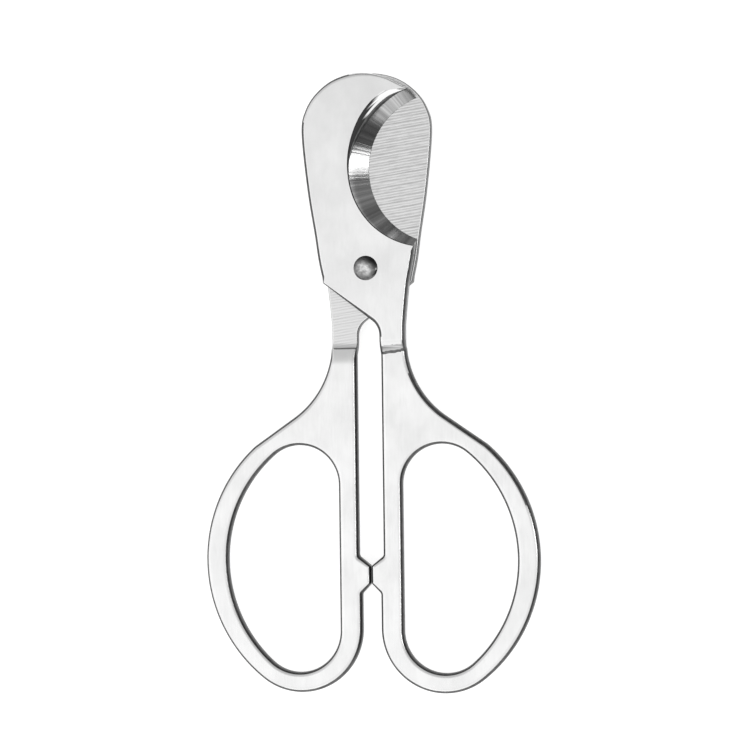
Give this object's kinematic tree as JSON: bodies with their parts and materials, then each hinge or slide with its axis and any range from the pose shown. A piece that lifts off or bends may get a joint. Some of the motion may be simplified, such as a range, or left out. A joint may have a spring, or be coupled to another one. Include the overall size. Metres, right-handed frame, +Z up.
{
  "type": "round-notch scissors",
  "caption": "Flat steel hand scissors with rounded blades, a bevelled crescent notch in each cutting edge, a rivet pivot and D-shaped finger loops.",
  "frame": {"origin": "bottom centre of the closed scissors' bounding box, as they lie on their back", "axes": "+X from the rear half's finger loop to the front half's, +Y from the finger loops to the blade tips, +Z up from the bench along the pivot"},
  "size_m": [0.0824, 0.1494, 0.0078],
  "materials": {
    "blade_steel": "polished outside, milled on the cutting faces",
    "rivet_steel": "bright, hammered head"
  },
  "bodies": {
    "rear": {"rear_half": "blade_steel", "pivot_rivet": "rivet_steel"},
    "front": {"front_half": "blade_steel"}
  },
  "joints": [
    {"name": "blade_pivot", "type": "hinge", "parent": "rear", "child": "front", "pos_m": [0, 0.02748, 0.0039], "axis": [0, 0, 1], "range_deg": [0, 90]}
  ]
}
